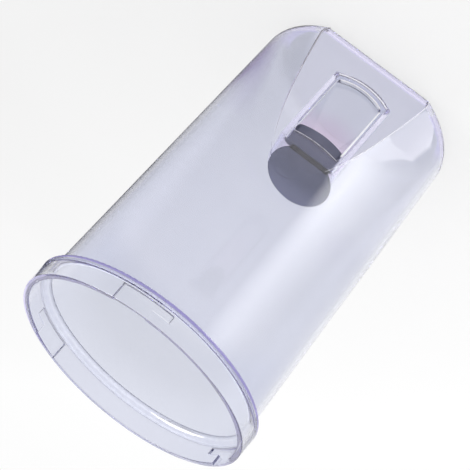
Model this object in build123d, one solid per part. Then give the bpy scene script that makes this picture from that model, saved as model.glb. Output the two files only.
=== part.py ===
from build123d import *
import os
from math import sin, cos, tan, radians, sqrt

# Clear dust bin of a cyclone vacuum: a tapered cup standing on its closed end,
# mouth up, with a stepped collar, a slanted flat on the -Y side, an inlet window
# and scoop in that flat, and a rubber non-return flap on the scoop's outlet.
# All dimensions in millimetres.  Origin: centre of the closed end, +Z to the mouth.

# ---- cup ----
total_h = 158.2            # closed end to rim
rim_r = 52.0               # collar outside radius at the rim
step_r = 52.25             # collar outside radius at the ledge
collar_h = 11.05           # rim to ledge, outside
body_r_top = 48.8          # body outside radius just below the ledge
body_r_bot = 44.0          # body outside radius at the closed end (theoretical corner)
wall = 1.8                 # side wall
floor_t = 1.9              # closed end thickness
shoulder_r = 8.0           # outside rounding round the closed end
collar_in_r = 49.7         # collar inside radius
ledge_in_r = 47.0          # body inside radius at the inner ledge
ledge_in_z = total_h - 9.9  # inner edge of the inner ledge
ledge_out_z = total_h - 9.2
ledge_round_in = 1.2       # rounding of the inner ledge, at the body and at the collar
ledge_round_out = 0.8
rim_round = 0.55           # rounding of the rim, outside
rim_round_in = 0.4         # rounding of the rim, inside
step_round = 0.7           # rounding of the outside ledge

# ---- slanted flat ----
flat_tilt = 8.84           # degrees off the axis
flat_off = 34.7            # distance from the axis at the closed end

# ---- bayonet slots inside the collar ----
slot_count = 3
slot_depth = 1.1           # cut into the inside of the collar
slot_top = 7.75            # far edge of the slot, from the rim
slot_lip = 4.5             # height of the retaining lip, from the rim
slot_start = -95.5         # azimuth of the closed end of the channel
slot_arc = 25.5            # channel length
slot_entry_arc = 17.0      # part of the channel that is open to the rim

# ---- inlet window in the flat (s = distance up the flat from the closed end) ----
duct_x = -2.8              # the inlet sits a little off the middle of the flat
win_half_w = 10.45
win_s0 = 19.1              # lowest point of the crowned lower edge
win_crown0 = 2.9
win_s1 = 54.0              # lowest point of the upper edge
win_crown1 = 1.4
win_corner = 1.6
win_round = 0.5            # rounding of the window's outside edge

# ---- scoop behind the window (d = depth below the outside of the flat) ----
scoop_half_w = 11.7        # inside
scoop_wall = 1.6
scoop_end_s = 14.5         # outside of the crowned end wall
scoop_end_r = 24.1
scoop_s = [13, 15, 17, 19, 22, 25, 28, 31, 35, 39, 43, 47, 50, 53, 56, 59, 62, 66, 71, 76]
scoop_ramp = (8.0, 76.0, -0.5, 26.4)   # floor curve: from s, to s, from depth, to depth
scoop_ramp_power = 1.8
scoop_near_r = (0.7, 4.0, 48.0, 74.0)  # rounding next to the flat: from, to, over this stretch
bar_s0, bar_s1 = 51.5, 57.0                          # cross bar that grips the valve head
bar_d0, bar_d1 = 4.95, 6.35

# ---- rubber valve ----
head_s0 = 47.3             # lowest point of the head
head_s1 = 59.7
head_crown = 2.7
head_d0, head_d1 = 1.9, 4.85
head_gap = 0.3
head_side_round = 2.7      # rounding along the head's sides, next to the flat
head_round = 0.6
head_corner = 3.2          # rounding of the head's corners next to the flap
hinge_s, hinge_d = 60.9, 3.3
seat_tilt = 15.0           # the outlet is cut this far off square to the axis
flap_t = 1.6
flap_r = 13.6
flap_reach = 24.2          # hinge to the far edge
flap_start = 0.35
flap_shift = -1.5          # the disc sits off the scoop's middle by this much
flap_round = 0.45
seat_gap = 0.12

os.makedirs("parts", exist_ok=True)

tb, sb, cb = tan(radians(flat_tilt)), sin(radians(flat_tilt)), cos(radians(flat_tilt))
F0 = Vector(duct_x, -flat_off, 0)
U = Vector(0, -sb, cb)          # up the flat
N = Vector(0, -cb, -sb)         # out of the flat
D = Vector(0, cb, sb)           # into the cup
step_z = total_h - collar_h


def profile(points, rounds):
    f = make_face(Polyline(*points, close=True))
    for (px, py), r in rounds:
        v = f.vertices().sort_by_distance((px, py, 0))[0]
        f = fillet(v, r)
    return f


# ---- cup outside: turned profile meets a wedge, both rounded at the closed end ----
outer_prof = profile(
    [(0, 0), (body_r_bot, 0), (body_r_top, step_z), (step_r, step_z), (rim_r, total_h), (0, total_h)],
    [((body_r_bot, 0), shoulder_r), ((body_r_top, step_z), 0.8), ((step_r, step_z), step_round),
     ((rim_r, total_h), rim_round)])
outer = revolve(Plane.XZ * outer_prof, Axis.Z)
top_z = 200.0
wedge_prof = profile(
    [(-flat_off, 0), (-flat_off - tb * top_z, top_z), (100, top_z), (100, 0)],
    [((-flat_off, 0), shoulder_r)])
outer = outer & extrude(Plane.YZ * wedge_prof, 90, both=True)

# ---- cup inside ----
in_r_bot = body_r_bot - wall
inner_prof = profile(
    [(0, floor_t), (in_r_bot + (floor_t / step_z) * (body_r_top - body_r_bot), floor_t), (ledge_in_r, ledge_in_z),
     (collar_in_r, ledge_out_z), (collar_in_r, total_h + 5), (0, total_h + 5)],
    [((in_r_bot, floor_t), shoulder_r - wall), ((ledge_in_r, ledge_in_z), ledge_round_in),
     ((collar_in_r, ledge_out_z), ledge_round_out)])
inner = revolve(Plane.XZ * inner_prof, Axis.Z)
in_off = flat_off - wall / cb
y0 = -in_off - tb * floor_t
wedge_in_prof = profile(
    [(y0, floor_t), (-in_off - tb * top_z, top_z), (100, top_z), (100, floor_t)],
    [((y0, floor_t), shoulder_r - wall)])
inner = inner & extrude(Plane.YZ * wedge_in_prof, 90, both=True)

# ---- scoop bodies, lofted along the flat ----
def section(s, half_w, d0, d1, r_near, r_far):
    pl = Plane(origin=F0 + U * s, x_dir=(1, 0, 0), z_dir=U)
    w = half_w
    a, b = r_near, r_far
    k = 1 - sqrt(0.5)
    e = [
        Line((-w + a, d0), (w - a, d0)),
        ThreePointArc((w - a, d0), (w - a * k, d0 + a * k), (w, d0 + a)),
        Line((w, d0 + a), (w, d1 - b)),
        ThreePointArc((w, d1 - b), (w - b * k, d1 - b * k), (w - b, d1)),
        Line((w - b, d1), (-w + b, d1)),
        ThreePointArc((-w + b, d1), (-w + b * k, d1 - b * k), (-w, d1 - b)),
        Line((-w, d1 - b), (-w, d0 + a)),
        ThreePointArc((-w, d0 + a), (-w + a * k, d0 + a * k), (-w + a, d0)),
    ]
    return pl * make_face(e)


def floor_depth(s):
    s0, s1, d0, d1 = scoop_ramp
    return d0 + (d1 - d0) * (1 - (1 - (s - s0) / (s1 - s0)) ** scoop_ramp_power)


def near_round(s):
    r0, r1, s0, s1 = scoop_near_r
    t = min(1.0, max(0.0, (s - s0) / (s1 - s0)))
    return r0 + (r1 - r0) * t * (2 - t)


def scoop_solid(grow, d0, rounded):
    secs = []
    for s in scoop_s:
        d1 = floor_depth(s) + grow
        room = d1 - d0
        rf = min(scoop_half_w + grow - 0.1, max(0.3, 0.66 * room))
        rn = max(0.15, min(near_round(s) if rounded else 0.3, room - rf - 0.05))
        rf = min(rf, room - rn - 0.05)
        secs.append(section(s, scoop_half_w + grow, d0, d1, rn, rf))
    return loft(secs, ruled=True)


def plan_end(radius):
    c = F0 + U * (scoop_end_s + scoop_end_r)
    pl = Plane(origin=c, x_dir=(1, 0, 0), z_dir=D)
    cyl = extrude(pl * Circle(radius), 45, both=True)
    boxp = Plane(origin=c + U * 50, x_dir=(1, 0, 0), z_dir=D)
    return cyl + extrude(boxp * Rectangle(2 * radius, 100), 45, both=True)


H = F0 + U * hinge_s + D * hinge_d                     # a point on the hinge line
ca, sa = cos(radians(seat_tilt)), sin(radians(seat_tilt))
V = Vector(0, ca, sa)                                  # along the flap, from the hinge
W = Vector(0, -sa, ca)                                 # out of the flap, towards the mouth
seat_pl = Plane(origin=H - W * (flap_t / 2 + seat_gap), x_dir=(1, 0, 0), z_dir=W)
below_seat = extrude(seat_pl * Rectangle(300, 300), -120)

scoop_out = scoop_solid(scoop_wall, 0.4, False) & plan_end(scoop_end_r) & below_seat
scoop_in = scoop_solid(0.0, wall, True) & plan_end(scoop_end_r - scoop_wall)

bin_shell = outer - inner
rim_edge = [e for e in bin_shell.edges() if e.geom_type == GeomType.CIRCLE and abs((e @ 0.3).Z - total_h) < 1e-3
            and abs(e.radius - collar_in_r) < 1e-3]
bin_shell = fillet(rim_edge, rim_round_in)
bin_shell = bin_shell + (scoop_out & outer)
bore = scoop_in & extrude(seat_pl * Rectangle(300, 300), -120)
bin_shell = bin_shell - bore

# cross bar behind the valve head, spanning the scoop
bar = Plane(origin=F0 + U * ((bar_s0 + bar_s1) / 2) + D * ((bar_d0 + bar_d1) / 2), x_dir=(1, 0, 0), z_dir=D) * \
    Box(2 * scoop_half_w + 1.6, bar_s1 - bar_s0, bar_d1 - bar_d0)
bin_shell = bin_shell + bar

# inlet window through the flat
def crown(half_w, s, sag):
    return ThreePointArc((-half_w, s + sag), (0, s), (half_w, s + sag))


flat_pl = Plane(origin=F0, x_dir=(1, 0, 0), z_dir=N)
a0 = crown(win_half_w, win_s0, win_crown0)
a1 = crown(win_half_w, win_s1, win_crown1)
win_face = make_face([a0, Line(a0 @ 1, a1 @ 1), a1, Line(a1 @ 0, a0 @ 0)])
win_face = fillet(win_face.vertices(), win_corner)
window = extrude(flat_pl * win_face, 4) + extrude(flat_pl * win_face, -(wall + 0.5))
bin_shell = bin_shell - window
win_edges = []
for e in bin_shell.edges():
    pts = [e @ u for u in (0.0, 0.5, 1.0)]
    if all(abs((q - F0).dot(N)) < 1e-3 and abs(q.X - duct_x) < win_half_w + 0.1
           and win_s0 - 1 < (q - F0).dot(U) < win_s1 + 3 for q in pts):
        win_edges.append(e)
print("window edges", len(win_edges))
bin_shell = fillet(win_edges, win_round)

# bayonet slots: a channel under a lip, open to the rim at one end
def ring_cut(z0, z1, start, arc):
    a = radians(start)
    pl = Plane(origin=(0, 0, 0), x_dir=(cos(a), sin(a), 0), z_dir=(sin(a), -cos(a), 0))
    r0, r1 = collar_in_r - 1.0, collar_in_r + slot_depth
    f = make_face(Polyline((r0, z0), (r1, z0), (r1, z1), (r0, z1), close=True))
    return revolve(pl * f, Axis.Z, revolution_arc=arc)


for i in range(slot_count):
    st = slot_start + i * 360.0 / slot_count
    bin_shell = bin_shell - ring_cut(total_h - slot_top, total_h - slot_lip, st, slot_arc)
    bin_shell = bin_shell - ring_cut(total_h - slot_top, total_h + 2, st + slot_arc - slot_entry_arc, slot_entry_arc)

# ---- valve head: rubber pad gripped between the flat and the cross bar ----
hw = scoop_half_w - head_gap
b0 = crown(hw + 0.5, head_s0, head_crown)
head_face = make_face([b0, Line(b0 @ 1, (hw + 0.5, head_s1)), Line((hw + 0.5, head_s1), (-hw - 0.5, head_s1)),
                       Line((-hw - 0.5, head_s1), b0 @ 0)])
head_face = fillet([v for v in head_face.vertices() if abs(v.Y - head_s1) < 1e-6], head_corner)
head_slab = extrude(flat_pl * head_face, -head_d1) - extrude(flat_pl * head_face, -head_d0)
head_pl = Plane(origin=F0 + U * 40, x_dir=(1, 0, 0), z_dir=U)
head_sec = Polyline((-hw, head_d0), (hw, head_d0), (hw, head_d1), (-hw, head_d1), close=True)
head_sec = make_face(head_sec)
head_sec = fillet([v for v in head_sec.vertices() if abs(v.Y - head_d0) < 1e-6], head_side_round)
valve_head = head_slab & extrude(head_pl * head_sec, 40)

# ---- flap: rubber disc cut straight at the hinge ----
flap_pl = Plane(origin=H, x_dir=(1, 0, 0), z_dir=W)     # local y = V
yc = flap_reach - flap_r
disc = flap_pl * (Pos(flap_shift, yc) * Circle(flap_r))
flap = extrude(disc, flap_t / 2, both=True)
cut = Plane(origin=H + V * (flap_start - 20), x_dir=(1, 0, 0), z_dir=W) * Box(80, 40, 20)
inlet_flap = flap - cut

flap_edges = [e for e in inlet_flap.edges() if e.geom_type == GeomType.CIRCLE]
inlet_flap = fillet(flap_edges, flap_round)

head_edges = []
for e in valve_head.edges():
    pts = [e @ u for u in (0.0, 0.5, 1.0)]
    if all((q - F0).dot(U) < head_s0 + head_crown + 0.5 for q in pts) and max(-(q - F0).dot(N) for q in pts) < head_d1 - 0.1:
        head_edges.append(e)
print("head edges", len(head_edges))
valve_head = fillet(head_edges, head_round)


def one(shape):
    s = shape.solids()
    s = sorted(s, key=lambda k: -k.volume)
    return s[0], len(s)

for name, shp in (("bin_shell", bin_shell), ("valve_head", valve_head), ("inlet_flap", inlet_flap)):
    s, n = one(shp)
    bb = s.bounding_box()
    print(name, "solids", n, "volume mm3 %.1f" % s.volume, "box", [round(v, 2) for v in (*bb.min, *bb.max)], "valid", s.is_valid)
    export_step(s, "parts/%s.step" % name)
print("hinge point", [round(v, 3) for v in H])
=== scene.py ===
import math

import bmesh
import bpy
from mathutils import Matrix, Vector


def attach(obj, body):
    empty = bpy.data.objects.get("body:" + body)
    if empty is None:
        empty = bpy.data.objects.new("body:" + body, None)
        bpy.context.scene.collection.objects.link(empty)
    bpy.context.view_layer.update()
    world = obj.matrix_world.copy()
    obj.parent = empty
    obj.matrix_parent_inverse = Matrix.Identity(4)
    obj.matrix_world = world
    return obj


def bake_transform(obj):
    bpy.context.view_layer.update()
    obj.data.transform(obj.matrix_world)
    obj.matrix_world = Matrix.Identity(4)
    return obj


# Clear dust bin of a cyclone vacuum with a rubber non-return valve.
# Everything is in metres, in the part's own frame: closed end on the floor, mouth up.

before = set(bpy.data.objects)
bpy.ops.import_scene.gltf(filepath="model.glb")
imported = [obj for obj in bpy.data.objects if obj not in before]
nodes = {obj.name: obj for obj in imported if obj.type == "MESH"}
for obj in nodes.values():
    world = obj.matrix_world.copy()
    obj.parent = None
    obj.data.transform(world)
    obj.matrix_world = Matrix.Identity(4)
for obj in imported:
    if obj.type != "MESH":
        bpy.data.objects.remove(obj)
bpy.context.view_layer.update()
scene = bpy.context.scene


# ---------------------------------------------------------------- materials
def new_material(name):
    m = bpy.data.materials.new(name)
    m.use_nodes = True
    nt = m.node_tree
    nt.nodes.clear()
    return m, nt


def add(nt, kind, **values):
    n = nt.nodes.new(kind)
    for k, v in values.items():
        if k in n.inputs:
            n.inputs[k].default_value = v
        else:
            setattr(n, k, v)
    return n


def ramp(nt, src, stops):
    r = nt.nodes.new("ShaderNodeValToRGB")
    el = r.color_ramp.elements
    while len(el) < len(stops):
        el.new(0.5)
    for e, (p, c) in zip(el, stops):
        e.position = p
        e.color = (c, c, c, 1) if not isinstance(c, tuple) else (*c, 1)
    nt.links.new(src, r.inputs["Fac"])
    return r.outputs["Color"]


def clear_plastic():
    m, nt = new_material("clear_plastic_moulded")
    out = add(nt, "ShaderNodeOutputMaterial")
    b = add(nt, "ShaderNodeBsdfPrincipled")
    b.inputs["IOR"].default_value = 1.49
    b.inputs["Specular IOR Level"].default_value = 0.5
    tc = add(nt, "ShaderNodeTexCoord")
    # faint haze that drifts over the moulding, and fine handling marks
    drift = add(nt, "ShaderNodeTexNoise", Scale=38.0, Detail=3.0, Roughness=0.5)
    nt.links.new(tc.outputs["Object"], drift.inputs["Vector"])
    fine = add(nt, "ShaderNodeTexNoise", Scale=900.0, Detail=2.0, Roughness=0.6)
    nt.links.new(tc.outputs["Object"], fine.inputs["Vector"])
    mix = add(nt, "ShaderNodeMix", data_type="FLOAT")
    mix.inputs[0].default_value = 0.25
    nt.links.new(drift.outputs["Fac"], mix.inputs[2])
    nt.links.new(fine.outputs["Fac"], mix.inputs[3])
    rough = add(nt, "ShaderNodeMapRange")
    rough.inputs["From Min"].default_value = 0.3
    rough.inputs["From Max"].default_value = 0.7
    rough.inputs["To Min"].default_value = 0.02
    rough.inputs["To Max"].default_value = 0.06
    nt.links.new(mix.outputs[0], rough.inputs["Value"])
    nt.links.new(rough.outputs["Result"], b.inputs["Roughness"])
    # paler in the body, violet where the thick stepped collar gathers the colour
    body = ramp(nt, drift.outputs["Fac"], [(0.3, (0.858, 0.872, 0.944)), (0.7, (0.876, 0.888, 0.956))])
    sep = add(nt, "ShaderNodeSeparateXYZ")
    nt.links.new(tc.outputs["Object"], sep.inputs["Vector"])
    high = add(nt, "ShaderNodeMapRange")
    high.inputs["From Min"].default_value = 0.1466
    high.inputs["From Max"].default_value = 0.1586
    nt.links.new(sep.outputs["Z"], high.inputs["Value"])
    step = ramp(nt, high.outputs["Result"], [(0.0, 0.0), (0.03, 0.0), (0.045, 0.8), (0.135, 0.8), (0.17, 0.05),
                                             (0.92, 0.05), (0.975, 0.45)])
    flatten = add(nt, "ShaderNodeVectorMath", operation="MULTIPLY")
    flatten.inputs[1].default_value = (1.0, 1.0, 0.0)
    nt.links.new(tc.outputs["Object"], flatten.inputs[0])
    away = add(nt, "ShaderNodeVectorMath", operation="LENGTH")
    nt.links.new(flatten.outputs["Vector"], away.inputs[0])
    outside = add(nt, "ShaderNodeMapRange", interpolation_type="SMOOTHSTEP")
    outside.inputs["From Min"].default_value = 0.0484
    outside.inputs["From Max"].default_value = 0.0490
    nt.links.new(away.outputs["Value"], outside.inputs["Value"])
    where = add(nt, "ShaderNodeMath", operation="MULTIPLY")
    nt.links.new(step, where.inputs[0])
    nt.links.new(outside.outputs["Result"], where.inputs[1])
    tint = add(nt, "ShaderNodeMix", data_type="RGBA")
    tint.inputs["B"].default_value = (0.66, 0.65, 0.88, 1.0)
    nt.links.new(where.outputs["Value"], tint.inputs["Factor"])
    # painted shade: darker on the upper part of one flank and on the wall opposite the inlet near the mouth; painted
    # light: paler on the collar on the inlet side
    for a0, lo0, hi0, a1, lo1, hi1, colour in (("X", -0.012, -0.034, "Z", 0.040, 0.075, (0.80, 0.815, 0.882)),
                                               ("Y", 0.000, 0.018, "Z", 0.098, 0.118, (0.745, 0.767, 0.86)),
                                               ("Y", -0.004, -0.022, "Z", 0.1482, 0.1492, (0.97, 0.98, 0.995))):
        part = []
        for axis, lo, hi in ((a0, lo0, hi0), (a1, lo1, hi1)):
            edge_of = add(nt, "ShaderNodeMapRange", interpolation_type="SMOOTHSTEP")
            edge_of.inputs["From Min"].default_value = lo
            edge_of.inputs["From Max"].default_value = hi
            nt.links.new(sep.outputs[axis], edge_of.inputs["Value"])
            part.append(edge_of.outputs["Result"])
        both = add(nt, "ShaderNodeMath", operation="MULTIPLY")
        nt.links.new(part[0], both.inputs[0])
        nt.links.new(part[1], both.inputs[1])
        painted_light_and_shade_patch = add(nt, "ShaderNodeMix", data_type="RGBA")
        painted_light_and_shade_patch.inputs["B"].default_value = (*colour, 1.0)
        nt.links.new(both.outputs["Value"], painted_light_and_shade_patch.inputs["Factor"])
        nt.links.new(body, painted_light_and_shade_patch.inputs["A"])
        body = painted_light_and_shade_patch.outputs["Result"]
    nt.links.new(body, tint.inputs["A"])
    # painted shade: a dark violet, less clear stripe along the step's edge on the inlet side, fainter along the rim
    # there
    near = add(nt, "ShaderNodeMapRange", interpolation_type="SMOOTHSTEP")
    near.inputs["From Min"].default_value = 0.034
    near.inputs["From Max"].default_value = 0.010
    nt.links.new(sep.outputs["Y"], near.inputs["Value"])
    band = ramp(nt, high.outputs["Result"], [(0.0, 0.0), (0.03, 0.0), (0.04, 1.0), (0.155, 1.0), (0.195, 0.0),
                                             (0.95, 0.0), (0.985, 0.2)])
    stripe = add(nt, "ShaderNodeMath", operation="MULTIPLY")
    nt.links.new(band, stripe.inputs[0])
    nt.links.new(outside.outputs["Result"], stripe.inputs[1])
    painted_shade_band = add(nt, "ShaderNodeMath", operation="MULTIPLY")
    nt.links.new(stripe.outputs["Value"], painted_shade_band.inputs[0])
    nt.links.new(near.outputs["Result"], painted_shade_band.inputs[1])
    violet = add(nt, "ShaderNodeMix", data_type="RGBA")
    violet.inputs["B"].default_value = (0.29, 0.26, 0.56, 1.0)
    nt.links.new(painted_shade_band.outputs["Value"], violet.inputs["Factor"])
    nt.links.new(tint.outputs["Result"], violet.inputs["A"])
    clear = add(nt, "ShaderNodeMapRange")
    clear.inputs["To Min"].default_value = 0.995
    clear.inputs["To Max"].default_value = 0.15
    nt.links.new(painted_shade_band.outputs["Value"], clear.inputs["Value"])
    nt.links.new(clear.outputs["Result"], b.inputs["Transmission Weight"])
    # rosy cast deep in the scoop, next to the rubber
    centre = add(nt, "ShaderNodeVectorMath", operation="DISTANCE")
    centre.inputs[1].default_value = (-0.0028, -0.0276, 0.0456)
    nt.links.new(tc.outputs["Object"], centre.inputs[0])
    rosy = add(nt, "ShaderNodeMapRange", interpolation_type="SMOOTHSTEP")
    rosy.inputs["From Min"].default_value = 0.020
    rosy.inputs["From Max"].default_value = 0.009
    nt.links.new(centre.outputs["Value"], rosy.inputs["Value"])
    along = add(nt, "ShaderNodeVectorMath", operation="DOT_PRODUCT")
    along.inputs[1].default_value = (0.0, 0.98812, 0.15367)
    nt.links.new(tc.outputs["Object"], along.inputs[0])
    deep = add(nt, "ShaderNodeMapRange", interpolation_type="SMOOTHSTEP")
    deep.inputs["From Min"].default_value = -0.0325
    deep.inputs["From Max"].default_value = -0.0300
    nt.links.new(along.outputs["Value"], deep.inputs["Value"])
    scoop = add(nt, "ShaderNodeMath", operation="MULTIPLY")
    nt.links.new(rosy.outputs["Result"], scoop.inputs[0])
    nt.links.new(deep.outputs["Result"], scoop.inputs[1])
    rose = add(nt, "ShaderNodeMix", data_type="RGBA")
    rose.inputs["B"].default_value = (0.85, 0.74, 0.88, 1.0)
    nt.links.new(scoop.outputs["Value"], rose.inputs["Factor"])
    nt.links.new(violet.outputs["Result"], rose.inputs["A"])
    nt.links.new(rose.outputs["Result"], b.inputs["Base Color"])
    # slow waviness of a moulded wall
    wave = add(nt, "ShaderNodeTexNoise", Scale=22.0, Detail=2.0, Roughness=0.45)
    nt.links.new(tc.outputs["Object"], wave.inputs["Vector"])
    bump = add(nt, "ShaderNodeBump", Strength=0.05, Distance=0.002)
    nt.links.new(wave.outputs["Fac"], bump.inputs["Height"])
    nt.links.new(bump.outputs["Normal"], b.inputs["Normal"])
    vol = add(nt, "ShaderNodeVolumeAbsorption")
    vol.inputs["Color"].default_value = (0.30, 0.24, 0.70, 1.0)
    vol.inputs["Density"].default_value = 6.0
    nt.links.new(b.outputs["BSDF"], out.inputs["Surface"])
    nt.links.new(vol.outputs["Volume"], out.inputs["Volume"])
    return m


def rubber(name, low, high, axis=None, start=0.0, end=1.0, far=None):
    m, nt = new_material(name)
    out = add(nt, "ShaderNodeOutputMaterial")
    b = add(nt, "ShaderNodeBsdfPrincipled")
    b.inputs["IOR"].default_value = 1.5
    b.inputs["Specular IOR Level"].default_value = 0.4
    tc = add(nt, "ShaderNodeTexCoord")
    grain = add(nt, "ShaderNodeTexNoise", Scale=1400.0, Detail=3.0, Roughness=0.6)
    nt.links.new(tc.outputs["Object"], grain.inputs["Vector"])
    cloud = add(nt, "ShaderNodeTexNoise", Scale=160.0, Detail=3.0, Roughness=0.55)
    nt.links.new(tc.outputs["Object"], cloud.inputs["Vector"])
    col = ramp(nt, cloud.outputs["Fac"], [(0.32, low), (0.68, high)])
    # along one axis the colour is blended toward a paler tone: a painted lighter gradient standing in for how light
    # falls
    if axis:
        sep = add(nt, "ShaderNodeSeparateXYZ")
        nt.links.new(tc.outputs["Object"], sep.inputs["Vector"])
        along = add(nt, "ShaderNodeMapRange", interpolation_type="SMOOTHSTEP")
        along.inputs["From Min"].default_value = start
        along.inputs["From Max"].default_value = end
        nt.links.new(sep.outputs[axis], along.inputs["Value"])
        painted_light_blend = add(nt, "ShaderNodeMix", data_type="RGBA")
        painted_light_blend.inputs["B"].default_value = (*far, 1.0)
        nt.links.new(along.outputs["Result"], painted_light_blend.inputs["Factor"])
        nt.links.new(col, painted_light_blend.inputs["A"])
        col = painted_light_blend.outputs["Result"]
    nt.links.new(col, b.inputs["Base Color"])
    rough = add(nt, "ShaderNodeMapRange")
    rough.inputs["From Min"].default_value = 0.3
    rough.inputs["From Max"].default_value = 0.7
    rough.inputs["To Min"].default_value = 0.50
    rough.inputs["To Max"].default_value = 0.66
    nt.links.new(grain.outputs["Fac"], rough.inputs["Value"])
    nt.links.new(rough.outputs["Result"], b.inputs["Roughness"])
    bump = add(nt, "ShaderNodeBump", Strength=0.18, Distance=0.0004)
    nt.links.new(grain.outputs["Fac"], bump.inputs["Height"])
    nt.links.new(bump.outputs["Normal"], b.inputs["Normal"])
    nt.links.new(b.outputs["BSDF"], out.inputs["Surface"])
    return m


def edge(name, low, high, rough_low, rough_high, clear):
    """Opaque bead colour for a moulded edge, with a fine grain: pale and light beads are painted highlights, grey and
    slot beads painted shade lines, wall-tone beads painted in the lit colour of the clear wall around them, the violet
    bead the colour gathered in the thick rim.
    """
    m, nt = new_material(name)
    out = add(nt, "ShaderNodeOutputMaterial")
    b = add(nt, "ShaderNodeBsdfPrincipled")
    b.inputs["IOR"].default_value = 1.49
    b.inputs["Transmission Weight"].default_value = clear
    tc = add(nt, "ShaderNodeTexCoord")
    grain = add(nt, "ShaderNodeTexNoise", Scale=420.0, Detail=3.0, Roughness=0.55)
    nt.links.new(tc.outputs["Object"], grain.inputs["Vector"])
    nt.links.new(ramp(nt, grain.outputs["Fac"], [(0.3, low), (0.7, high)]), b.inputs["Base Color"])
    rough = add(nt, "ShaderNodeMapRange")
    rough.inputs["From Min"].default_value = 0.3
    rough.inputs["From Max"].default_value = 0.7
    rough.inputs["To Min"].default_value = rough_low
    rough.inputs["To Max"].default_value = rough_high
    nt.links.new(grain.outputs["Fac"], rough.inputs["Value"])
    nt.links.new(rough.outputs["Result"], b.inputs["Roughness"])
    nt.links.new(b.outputs["BSDF"], out.inputs["Surface"])
    return m


def floor_paper():
    m, nt = new_material("pale_floor")
    out = add(nt, "ShaderNodeOutputMaterial")
    b = add(nt, "ShaderNodeBsdfPrincipled")
    b.inputs["Roughness"].default_value = 0.9
    b.inputs["Specular IOR Level"].default_value = 0.1
    b.inputs["Emission Strength"].default_value = 1.0
    tc = add(nt, "ShaderNodeTexCoord")
    # the light falls off gently across the floor
    across = add(nt, "ShaderNodeVectorMath", operation="DOT_PRODUCT")
    across.inputs[1].default_value = (-0.8268, 0.5625, 0.0)
    nt.links.new(tc.outputs["Object"], across.inputs[0])
    fall = add(nt, "ShaderNodeMapRange")
    fall.inputs["From Min"].default_value = -0.058
    fall.inputs["From Max"].default_value = 0.212
    nt.links.new(across.outputs["Value"], fall.inputs["Value"])
    glow = ramp(nt, fall.outputs["Result"], [(0.0, (0.570, 0.570, 0.570)), (0.32, (0.607, 0.607, 0.607)),
                                             (0.5, (0.626, 0.626, 0.626)), (0.85, (0.662, 0.662, 0.662)),
                                             (1.0, (0.688, 0.688, 0.688))])
    nt.links.new(glow, b.inputs["Emission Color"])
    n = add(nt, "ShaderNodeTexNoise", Scale=6.0, Detail=2.0)
    nt.links.new(tc.outputs["Object"], n.inputs["Vector"])
    col = ramp(nt, n.outputs["Fac"], [(0.3, (0.205, 0.205, 0.205)), (0.7, (0.215, 0.215, 0.215))])
    nt.links.new(col, b.inputs["Base Color"])
    nt.links.new(b.outputs["BSDF"], out.inputs["Surface"])
    return m


CLEAR = clear_plastic()
# one grey rubber in three tones: the head darker and the hinge web near black as painted shade; the flap paler toward
# its tip and the head paler toward its hinge end as painted light
RUBBER = rubber("grey_rubber_flap", (0.105, 0.112, 0.185), (0.138, 0.146, 0.230), "Y", -0.034, -0.019, (0.20, 0.21, 0.32))
RUBBER_HEAD = rubber("grey_rubber_head", (0.068, 0.074, 0.124), (0.092, 0.099, 0.155), "Z", 0.0525, 0.0560, (0.14, 0.148, 0.245))
RUBBER_GROOVE_SHADE = rubber("grey_rubber_thin_painted_shade", (0.020, 0.021, 0.030), (0.034, 0.035, 0.048))
PALE = edge("plastic_edge_pale_painted_highlight", (0.70, 0.70, 0.76), (0.82, 0.82, 0.87), 0.2, 0.4, 0.55)
LIT_WALL_PAINT = edge("plastic_edge_painted_lit_wall", (0.69, 0.71, 0.82), (0.74, 0.76, 0.86), 0.3, 0.5, 0.08)
VIOLET = edge("plastic_edge_violet", (0.72, 0.67, 0.97), (0.78, 0.74, 0.99), 0.3, 0.5, 0.08)
LIGHT = edge("plastic_edge_painted_highlight", (0.86, 0.86, 0.93), (0.93, 0.93, 0.98), 0.3, 0.5, 0.05)
SLOT = edge("plastic_edge_slot_painted_shade", (0.60, 0.60, 0.68), (0.68, 0.68, 0.76), 0.3, 0.5, 0.1)
GREY = edge("plastic_edge_grey_painted_shade", (0.42, 0.41, 0.48), (0.50, 0.49, 0.57), 0.3, 0.5, 0.1)


def dress(node, material):
    o = nodes[node]
    o.data.materials.clear()
    o.data.materials.append(material)
    return o


dress("bin_shell", CLEAR)
dress("valve_head", RUBBER_HEAD)
dress("inlet_flap", RUBBER)

# ---------------------------------------------------------------- fine edges of the moulding
TILT = math.radians(8.84)
TB = math.tan(TILT)
F0 = Vector((-2.8, -34.7, 0.0))
U = Vector((0.0, -math.sin(TILT), math.cos(TILT)))      # up the slanted flat
D = Vector((0.0, math.cos(TILT), math.sin(TILT)))       # into the bin
MM = 0.001


def on_flat(x, s, d):
    return F0 + Vector((x, 0, 0)) + U * s + D * d


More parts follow.
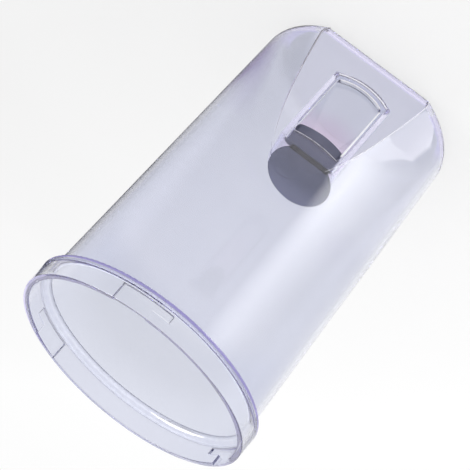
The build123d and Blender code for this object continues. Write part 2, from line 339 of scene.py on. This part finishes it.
def tube(name, path, radii, material, sides=10):
    """Closed round bead along a path in millimetres."""
    n = len(path)
    verts, faces = [], []
    up = None
    for i, p in enumerate(path):
        a, b = path[max(0, i - 1)], path[min(n - 1, i + 1)]
        d = (b - a).normalized()
        if up is None:
            up = d.orthogonal().normalized()
        up = (up - d * up.dot(d)).normalized()
        side = d.cross(up)
        r = radii[i] if isinstance(radii, list) else radii
        for j in range(sides):
            w = 2 * math.pi * j / sides
            verts.append((p + (up * math.cos(w) + side * math.sin(w)) * r) * MM)
    for i in range(n - 1):
        for j in range(sides):
            k = (j + 1) % sides
            faces.append((i * sides + j, i * sides + k, (i + 1) * sides + k, (i + 1) * sides + j))
    for i, end in ((0, -1), (n - 1, 1)):
        d = (path[i] - path[i - end]).normalized()
        r = radii[i] if isinstance(radii, list) else radii
        verts.append((path[i] + d * r * 0.8) * MM)
        c = len(verts) - 1
        for j in range(sides):
            k = (j + 1) % sides
            faces.append((i * sides + k, i * sides + j, c) if end < 0 else (i * sides + j, i * sides + k, c))
    me = bpy.data.meshes.new(name)
    me.from_pydata(verts, [], faces)
    for poly in me.polygons:
        poly.use_smooth = True
    o = bpy.data.objects.new(name, me)
    scene.collection.objects.link(o)
    o.data.materials.append(material)
    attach(o, "bin")
    return o


def lin(a, b, n):
    return [a + (b - a) * i / (n - 1) for i in range(n)]


# creases between the slanted flat and the round wall, running out round the closed end: a grey bead along one as
# painted shade of the crease line, a pale bead along the other as a painted highlight
def crease(sign, z0, z1, n=40, shift=0.0):
    pts = []
    for z in lin(z0, z1, n):
        arc = math.sqrt(64.0 - (8.0 - z) ** 2) if z < 8.0 else 8.0
        r = 36.257 + arc if z < 7.74 else 44.0 + 4.8 / 147.15 * z
        y = -27.85 - arc if z < 6.77 else -34.7 - TB * z
        pts.append(Vector((sign * (math.sqrt(max(0.0, r * r - y * y)) - shift), y, z)))
    return pts


def fading(r0, r1, n, power=1.0):
    return [r0 + (r1 - r0) * (i / (n - 1)) ** power for i in range(n)]


tube("crease_edge_1", crease(1, 1.5, 62.0, 60, 0.5), fading(0.34, 0.06, 60, 0.6), GREY)
tube("crease_edge_2", crease(-1, 1.5, 62.0, 60), fading(0.14, 0.05, 60, 1.2), LIGHT)


def crowned(half_w, s, sag, d, n=25):
    big = (half_w * half_w + sag * sag) / (2 * sag)
    return [on_flat(x, s + big - math.sqrt(big * big - x * x), d) for x in lin(-half_w, half_w, n)]


# rounded edges of the inlet window, drawn as beads: the pale ones are painted highlights on the edges, the wall-tone
# ones are painted in the lit colour of the clear wall to cover dark lines there
tube("window_edge_low", crowned(9.6, 18.9, 2.45, 0.05), 0.30, LIGHT)
tube("window_edge_inner", crowned(9.3, 18.72, 2.45, 0.9), 0.66, LIT_WALL_PAINT, sides=14)
tube("window_edge_high", crowned(10.0, 53.9, 1.3, 0.22), 0.17, PALE)
tube("window_edge_side", [on_flat(-10.45, s, 0.2) for s in lin(23.0, 52.0, 12)],
     fading(0.34, 0.5, 12), LIGHT)
tube("scoop_end_edge", crowned(11.6, 16.35, 3.0, 0.14), 0.36, LIGHT)
tube("window_edge_side_2", [on_flat(10.45, s, 0.1) for s in lin(22.5, 52.0, 12)], fading(0.2, 0.3, 12), LIT_WALL_PAINT)


# edges of the bayonet slots inside the collar, drawn as grey beads: painted shade lines along the edges
def ring_pt(r, a, z):
    return Vector((r * math.cos(math.radians(a)), r * math.sin(math.radians(a)), z))


for i in range(3):
    st = -95.5 + 120.0 * i
    path = [ring_pt(49.75, st, z) for z in (153.6, 152.0, 150.6)]
    path += [ring_pt(49.95, a, 150.5) for a in lin(st + 0.2, st + 25.3, 24)]
    path += [ring_pt(49.75, st + 25.5, z) for z in (150.6, 153.0, 155.5, 157.7)]
    tube("slot_edge_%d" % (i + 1), path, 0.20 if i == 0 else 0.16, SLOT, sides=8)

# rounded edge of the inner ledge opposite the inlet, and the light lying on it
def ledge_edge(name, a0, a1, r, z, small, big, power, material, n=80):
    path = [ring_pt(r, a, z) for a in lin(a0, a1, n)]
    radii = [small + (big - small) * math.sin(math.pi * i / (n - 1)) ** power for i in range(n)]
    return tube(name, path, radii, material, sides=16)


def lathe(name, section, smooth, a0, a1, material, n=120):
    """Closed section (radius, height in millimetres) swept round the axis from a0 to a1, its first sides smooth."""
    k = len(section)
    verts = [ring_pt(r, a, z) * MM for a in lin(a0, a1, n) for r, z in section]
    faces = [(i * k + j, i * k + (j + 1) % k, (i + 1) * k + (j + 1) % k, (i + 1) * k + j)
             for i in range(n - 1) for j in range(k)]
    faces += [tuple(range(k - 1, -1, -1)), tuple((n - 1) * k + j for j in range(k))]
    me = bpy.data.meshes.new(name)
    me.from_pydata(verts, [], faces)
    bm = bmesh.new()
    bm.from_mesh(me)
    bmesh.ops.recalc_face_normals(bm, faces=bm.faces)
    bm.to_mesh(me)
    bm.free()
    for i, poly in enumerate(me.polygons):
        poly.use_smooth = len(poly.vertices) == 4 and 1 <= i % k <= smooth
    o = bpy.data.objects.new(name, me)
    scene.collection.objects.link(o)
    o.data.materials.append(material)
    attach(o, "bin")
    return o


def arc_rz(r, z, radius, t0, t1, n):
    return [(r + radius * math.cos(math.radians(t)), z + radius * math.sin(math.radians(t))) for t in lin(t0, t1, n)]


# an opaque skin over the ledge and a bead on the inlet side, painted in the lit colour of the clear wall to cover dark
# lines at the edge: painted light; the bright bead is a painted highlight
skin = lathe("ledge_edge", [(47.12, 146.45), (46.87, 146.75)] + arc_rz(48.2, 147.372, 1.32, 180.0, 104.5, 9)
      + arc_rz(48.9, 149.619, 0.58, 284.5, 360.0, 8) + [(49.48, 149.95), (49.85, 150.15), (50.0, 150.0), (50.0, 148.9),
      (49.3, 148.4), (48.2, 148.0), (47.5, 147.3), (47.35, 146.5)], 18, -12.0, 192.0, LIT_WALL_PAINT)
inlet_edge = ledge_edge("ledge_edge_inlet", -170.0, -10.0, 47.45, 147.95, 0.35, 0.7, 0.3, LIT_WALL_PAINT)
glow = ledge_edge("ledge_light", 100.0, 142.0, 47.3, 148.05, 0.05, 0.78, 1.2, LIGHT)

# the rim gathers colour at one end
ledge_edge("rim_edge", -30.0, 50.0, 51.4, 157.6, 0.06, 0.72, 0.8, VIOLET)

# living hinge: thin rubber web from the head to the flap, coloured near black as painted shade of the groove between
# them
def web():
    tilt = math.radians(15.0)
    V = Vector((0.0, math.cos(tilt), math.sin(tilt)))
    W = Vector((0.0, -math.sin(tilt), math.cos(tilt)))
    H = on_flat(0.0, 60.9, 3.3)
    mid = [on_flat(0.0, 59.2, 3.35), on_flat(0.0, 59.9, 3.33), on_flat(0.0, 60.4, 3.35),
           H + W * -0.05 + V * 0.1, H + V * 0.5, H + V * 1.2]
    out = [-D, (-D + W * 0.2).normalized(), (-D + W * 0.5).normalized(), (W - D * 0.6).normalized(), W, W]
    half = [0.75, 0.55, 0.42, 0.4, 0.5, 0.6]
    xs = lin(-10.2, 7.2, 30)
    verts, faces = [], []
    m = len(mid)
    for x in xs:
        ring = [mid[i] + out[i] * half[i] for i in range(m)] + [mid[i] - out[i] * half[i] for i in range(m - 1, -1, -1)]
        verts += [(q + Vector((x, 0, 0))) * MM for q in ring]
    k = 2 * m
    for i in range(len(xs) - 1):
        for j in range(k):
            a, b = i * k + j, i * k + (j + 1) % k
            faces.append((a, b, b + k, a + k))
    faces.append(tuple(range(k - 1, -1, -1)))
    faces.append(tuple((len(xs) - 1) * k + j for j in range(k)))
    me = bpy.data.meshes.new("hinge_web")
    me.from_pydata(verts, [], faces)
    o = bpy.data.objects.new("hinge_web", me)
    scene.collection.objects.link(o)
    o.data.materials.append(RUBBER_GROOVE_SHADE)
    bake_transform(o)


web()

# ---------------------------------------------------------------- floor
mesh = bpy.data.meshes.new("floor")
s = 6.0
mesh.from_pydata([(-s, -s, 0), (s, -s, 0), (s, s, 0), (-s, s, 0)], [], [(0, 1, 2, 3)])
floor = bpy.data.objects.new("floor", mesh)
floor.location.z = -0.0002
scene.collection.objects.link(floor)
floor.data.materials.append(floor_paper())

# backdrop behind the bin, seen only through the clear plastic: deep at the floor line, paler above
def backdrop():
    w, h, y = 3.0, 2.4, 1.5
    me = bpy.data.meshes.new("backdrop")
    me.from_pydata([(-w, y, 0), (w, y, 0), (w, y, h), (-w, y, h)], [], [(0, 1, 2, 3)])
    o = bpy.data.objects.new("backdrop", me)
    scene.collection.objects.link(o)
    m, nt = new_material("backdrop_paper")
    out = add(nt, "ShaderNodeOutputMaterial")
    tc = add(nt, "ShaderNodeTexCoord")
    sep = add(nt, "ShaderNodeSeparateXYZ")
    nt.links.new(tc.outputs["Object"], sep.inputs["Vector"])
    up = add(nt, "ShaderNodeMapRange")
    up.inputs["From Max"].default_value = h
    nt.links.new(sep.outputs["Z"], up.inputs["Value"])
    col = ramp(nt, up.outputs["Result"], [(0.0, (0.32, 0.27, 0.56)), (0.10, (0.36, 0.31, 0.62)),
                                          (0.22, (0.78, 0.79, 0.87)), (0.6, (0.90, 0.91, 0.95)), (1.0, (1.0, 1.0, 1.0))])
    em = add(nt, "ShaderNodeEmission", Strength=1.0)
    nt.links.new(col, em.inputs["Color"])
    nt.links.new(em.outputs["Emission"], out.inputs["Surface"])
    me.materials.append(m)
    o.visible_camera = False
    o.visible_diffuse = False
    o.visible_glossy = False
    o.visible_shadow = False


backdrop()

# ---------------------------------------------------------------- light
world = bpy.data.worlds.new("studio")
scene.world = world
world.use_nodes = True
bg = world.node_tree.nodes["Background"]
bg.inputs["Color"].default_value = (1.0, 1.0, 1.0, 1.0)
bg.inputs["Strength"].default_value = 1.0


def area(name, loc, target, sx, sy, power, spread=180.0, camera=False, transmission=True, glossy=True):
    d = bpy.data.lights.new(name, "AREA")
    d.shape = "RECTANGLE"
    d.size, d.size_y = sx, sy
    d.energy = power
    d.spread = math.radians(spread)
    o = bpy.data.objects.new(name, d)
    o.location = loc
    o.rotation_mode = "QUATERNION"
    o.rotation_quaternion = (Vector(target) - Vector(loc)).to_track_quat("-Z", "Y")
    o.visible_camera = camera
    o.visible_transmission = transmission
    o.visible_glossy = glossy
    scene.collection.objects.link(o)
    return o


def card(name, rows, profile, fade, strength, colour=(1.0, 1.0, 1.0), through=False):
    """A soft strip lying low beside the bin that only reflections see, or only looks through the plastic:
    rows of points across it, brightness profile across, fade along. A negative strength is a dark card."""
    verts, faces, us, vs = [], [], [], []
    n = len(rows[0])
    for i, row in enumerate(rows):
        for j, (x, y, z) in enumerate(row):
            verts.append((x / 1000, y / 1000, z / 1000))
            us.append(j / (n - 1))
            vs.append(i / (len(rows) - 1))
    for i in range(len(rows) - 1):
        for j in range(n - 1):
            faces.append((i * n + j, i * n + j + 1, (i + 1) * n + j + 1, (i + 1) * n + j))
    me = bpy.data.meshes.new(name)
    me.from_pydata(verts, [], faces)
    uv = me.uv_layers.new(name="across")
    for loop in me.loops:
        uv.data[loop.index].uv = (us[loop.vertex_index], vs[loop.vertex_index])
    o = bpy.data.objects.new(name, me)
    scene.collection.objects.link(o)
    m, nt = new_material(name)
    out = add(nt, "ShaderNodeOutputMaterial")
    tc = add(nt, "ShaderNodeUVMap", uv_map="across")
    sep = add(nt, "ShaderNodeSeparateXYZ")
    nt.links.new(tc.outputs["UV"], sep.inputs["Vector"])
    across = ramp(nt, sep.outputs["X"], profile)
    along = ramp(nt, sep.outputs["Y"], fade)
    mul = add(nt, "ShaderNodeMath", operation="MULTIPLY")
    nt.links.new(across, mul.inputs[0])
    nt.links.new(along, mul.inputs[1])
    em = add(nt, "ShaderNodeEmission")
    em.inputs["Color"].default_value = (*colour, 1.0)
    em.inputs["Strength"].default_value = max(0.0, strength)
    tr = add(nt, "ShaderNodeBsdfTransparent")
    mix = add(nt, "ShaderNodeMixShader")
    nt.links.new(mul.outputs[0], mix.inputs[0])
    nt.links.new(tr.outputs[0], mix.inputs[1])
    nt.links.new(em.outputs[0], mix.inputs[2])
    nt.links.new(mix.outputs[0], out.inputs["Surface"])
    o.data.materials.append(m)
    o.visible_camera = False
    o.visible_diffuse = False
    o.visible_transmission = through
    o.visible_glossy = not through
    o.visible_volume_scatter = False
    o.visible_shadow = False
    return o


def flat_rows(points):
    return [[(x, y, 10.0) for x, y in row] for row in points]


# low bright strip in front, left: the long highlight on the wall
card("strip_low", flat_rows([
    [(-127, -347), (-189, -318), (-267, -257), (-335, -157), (-367, -24), (-334, 145)],
    [(-104, -287), (-154, -264), (-217, -214), (-272, -134), (-299, -26), (-273, 109)],
    [(-87, -246), (-130, -227), (-183, -185), (-230, -117), (-252, -28), (-231, 84)],
    [(-72, -208), (-108, -192), (-152, -158), (-190, -102), (-209, -29), (-192, 62)],
    [(-59, -172), (-87, -160), (-123, -132), (-154, -88), (-169, -30), (-156, 42)],
    [(-46, -139), (-68, -129), (-96, -108), (-120, -74), (-132, -30), (-123, 23)],
    [(-34, -108), (-50, -101), (-71, -86), (-88, -62), (-97, -31), (-92, 6)],
    [(-21, -73), (-31, -69), (-43, -61), (-53, -47), (-58, -31), (-57, -13)],
]), [(0.18, 0.0), (0.32, 0.75), (0.42, 1.0), (0.6, 0.6), (0.8, 0.2), (1.0, 0.0)],
    [(0.0, 0.22), (0.14, 0.36), (0.29, 0.42), (0.43, 0.45), (0.57, 0.55), (0.68, 0.72), (0.76, 0.84), (0.86, 0.84), (1.0, 0.6)], 10.5)

# broad low card: the pale cheek beside the flat
card("cheek_low", [[(x, y, 2.0) for x, y in row] for row in [
    [(-29, -36), (-30, -36), (-31, -35), (-32, -35), (-33, -35), (-34, -34)],
    [(-32, -35), (-34, -34), (-36, -33), (-38, -32), (-39, -31), (-40, -30)],
    [(-46, -48), (-50, -41), (-52, -34), (-53, -26), (-53, -21), (-52, -16)],
    [(-57, -66), (-63, -56), (-68, -45), (-71, -33), (-71, -24), (-70, -16)],
    [(-62, -88), (-67, -81), (-72, -74), (-75, -66), (-77, -60), (-79, -55)],
    [(-61, -112), (-63, -110), (-65, -108), (-67, -106), (-68, -105), (-69, -103)],
]], [(0.0, 1.0), (0.75, 1.0), (0.9, 0.0)], [(0.0, 1.0), (1.0, 1.0)], 4.4, (1.0, 0.97, 1.0))

# low card in front of the slanted flat, and one across the inlet window
card("flat_low", [[(x, y, 1.0) for x in (-34, -20, -6, 8, 22, 36, 50)] for y in (-112, -96, -80, -60, -45, -36)],
     [(0.0, 0.0), (0.18, 1.0), (0.82, 1.0), (1.0, 0.0)], [(0.0, 0.0), (0.45, 1.0), (1.0, 1.0)], 2.4, (1.0, 0.93, 0.97))
card("window_sheen", [[tuple(on_flat(x, s, -0.5)) for x in (-11.5, -4.0, 4.0, 11.5)] for s in (18.0, 30.0, 42.0, 55.5)],
     [(0.0, 1.0), (1.0, 1.0)], [(0.0, 1.0), (1.0, 1.0)], 1.5, (1.0, 0.93, 0.98))

# dark card on the other side: the deep edge of the wall there
card("flag_side", [
    [(30, -140, 0.3), (30, -60, 0.3), (30, 20, 0.3), (30, 100, 0.3), (40, 200, 0.5), (50, 330, 0.5)],
    [(60, -140, 2), (60, -60, 2), (60, 20, 2), (62, 100, 2), (70, 200, 2), (90, 330, 2)],
    [(110, -160, 6), (110, -70, 6), (112, 20, 6), (116, 120, 6), (126, 220, 6), (140, 330, 6)],
    [(190, -170, 8), (200, -70, 8), (205, 30, 8), (210, 130, 8), (220, 230, 8), (230, 330, 8)],
    [(330, -180, 8), (340, -70, 8), (345, 40, 8), (350, 140, 8), (360, 240, 8), (370, 330, 8)],
], [(0.0, 0.0), (0.25, 0.5), (0.5, 0.9), (0.75, 1.0), (1.0, 1.0)],
    [(0.0, 1.0), (0.7, 1.0), (1.0, 0.6)], -1.0)

# shade on the floor close to the bin, and light caught under its rounded end, both seen through the plastic
card("floor_shade", [[(x, y, 0.3) for x in (42, 54, 64, 74, 84, 100)] for y in (-16, 2, 18, 34, 50, 76)],
     [(0.0, 0.0), (0.08, 0.4), (0.2, 0.9), (0.6, 1.0), (1.0, 0.0)], [(0.0, 0.0), (0.25, 1.0), (0.55, 1.0), (1.0, 0.0)], 1.0,
     (0.43, 0.37, 0.56), through=True)
card("under_flat", [[(x, y, 0.05) for x in (-34, -20, 0, 20, 34)] for y in (-28.3, -31, -35, -40, -46)],
     [(0.0, 0.0), (0.2, 1.0), (0.8, 1.0), (1.0, 0.0)], [(0.0, 1.0), (1.0, 0.6)], 1.0, (0.80, 0.76, 0.92), through=True)
for side, (a0, a1) in enumerate(((-42.0, 4.0), (-184.0, -138.0))):
    card("under_end_%d" % (side + 1), [[tuple(ring_pt(r, a, 0.05)) for r in (37.6, 40, 43, 47)] for a in lin(a0, a1, 12)],
         [(0.0, 1.0), (1.0, 0.8)], [(0.0, 1.0 if side == 0 else 0.0), (0.25, 1.0), (0.75, 1.0), (1.0, 0.0 if side == 0 else 1.0)],
         1.0, (0.80, 0.76, 0.92), through=True)

key = area("key", (-0.25, -2.15, 1.14), (0.0, 0.0, 0.05), 0.16, 0.16, 80.0, glossy=False, transmission=False)
lit = bpy.data.collections.new("lit_by_key")
lit.objects.link(floor)
key.light_linking.receiver_collection = lit
lamp = area("ledge_lamp", (-0.05, -0.10, 0.9), (0.0, 0.04, 0.148), 0.2, 0.2, 6.0, glossy=False, transmission=False)
lit_ledge = bpy.data.collections.new("lit_by_ledge_lamp")
lit_ledge.objects.link(glow)
lamp.light_linking.receiver_collection = lit_ledge
fill = area("ledge_fill", (-0.05, -0.9, 0.75), (0.0, 0.03, 0.148), 0.3, 0.3, 4.5, glossy=False, transmission=False)
lit_skin = bpy.data.collections.new("lit_by_ledge_fill")
lit_skin.objects.link(skin)
fill.light_linking.receiver_collection = lit_skin
fill = area("inlet_fill", (-0.05, -0.9, 0.75), (0.0, -0.04, 0.148), 0.3, 0.3, 7.0, glossy=False, transmission=False)
lit_inlet = bpy.data.collections.new("lit_by_inlet_fill")
lit_inlet.objects.link(inlet_edge)
fill.light_linking.receiver_collection = lit_inlet
fill.data.use_shadow = False
area("back_box", (0.2, 1.7, 1.0), (0.0, 0.0, 0.1), 1.6, 0.7, 2.0)
top = area("top_box", (0.85, -0.38, 0.98), (0.0, 0.0, 0.12), 0.5, 0.5, 6.0, transmission=False)
top.visible_diffuse = False

# ---------------------------------------------------------------- camera
cam_data = bpy.data.cameras.new("camera")
cam = bpy.data.objects.new("camera", cam_data)
scene.collection.objects.link(cam)
right = Vector((-0.79142, -0.19001, -0.58099))
down = Vector((-0.60176, 0.40914, 0.68592))
fwd = Vector((0.10738, 0.89247, -0.43814))
rot = Matrix((right, -down, -fwd)).transposed()
cam.matrix_world = Matrix.Translation((-0.08373, -0.726678, 0.441457)) @ rot.to_4x4()
cam_data.sensor_width = 36.0
cam_data.lens = 157.397
cam_data.clip_start = 0.01
cam_data.clip_end = 50.0
scene.camera = cam

# ---------------------------------------------------------------- render settings
scene.view_settings.view_transform = "Standard"
scene.view_settings.look = "None"
scene.view_settings.exposure = 0.0
scene.cycles.use_denoising = True
scene.cycles.max_bounces = 400
scene.cycles.transmission_bounces = 400
scene.cycles.glossy_bounces = 400
scene.cycles.diffuse_bounces = 6
scene.cycles.transparent_max_bounces = 16
